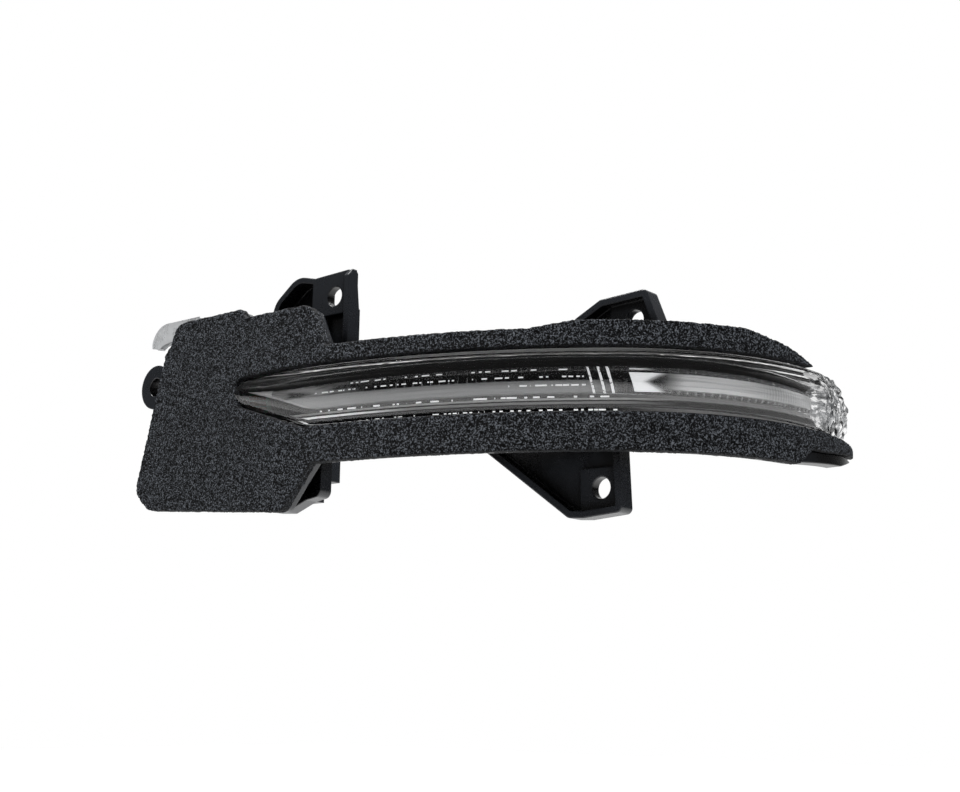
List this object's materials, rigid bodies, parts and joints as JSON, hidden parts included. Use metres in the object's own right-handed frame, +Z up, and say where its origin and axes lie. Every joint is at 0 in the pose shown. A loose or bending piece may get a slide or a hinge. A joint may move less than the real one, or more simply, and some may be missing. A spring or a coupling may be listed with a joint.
{
  "type": "mirror turn signal light",
  "caption": "Door-mirror turn signal lamp: curved black housing with screw tabs, clear wrap-round lens over a light guide, and a die-cut foam gasket.",
  "frame": {"origin": "centre of the inboard ear's screw hole, on the ear's front face", "axes": "+X outboard along the lamp's longest side, +Z up, -Y forward, the way the flat inboard end faces and the screws come out"},
  "size_m": [0.1841, 0.121, 0.071],
  "materials": {
    "housing_black": "satin moulded black",
    "lens_clear": "clear polished",
    "foam_black": "open-cell foam, crepe surface",
    "guide_clear": "clear, saw teeth behind",
    "bezel_black": "piano black",
    "board_green": "solder mask",
    "led_amber": "amber resin",
    "chip_black": "moulded epoxy",
    "resistor_grey": "matt",
    "capacitor_tan": "matt",
    "pin_brass": "tin-flashed",
    "screw_steel": "zinc plated"
  },
  "bodies": {
    "root": {"rear_housing": "housing_black", "outer_lens": "lens_clear", "foam_gasket": "foam_black", "light_guide": "guide_clear", "inner_bezel": "bezel_black", "led_board": "board_green", "amber_leds": "led_amber", "driver_chip": "chip_black", "resistors": "resistor_grey", "capacitors": "capacitor_tan", "protection_diode": "chip_black", "terminal_pins": "pin_brass", "board_screws": "screw_steel"}
  },
  "joints": []
}
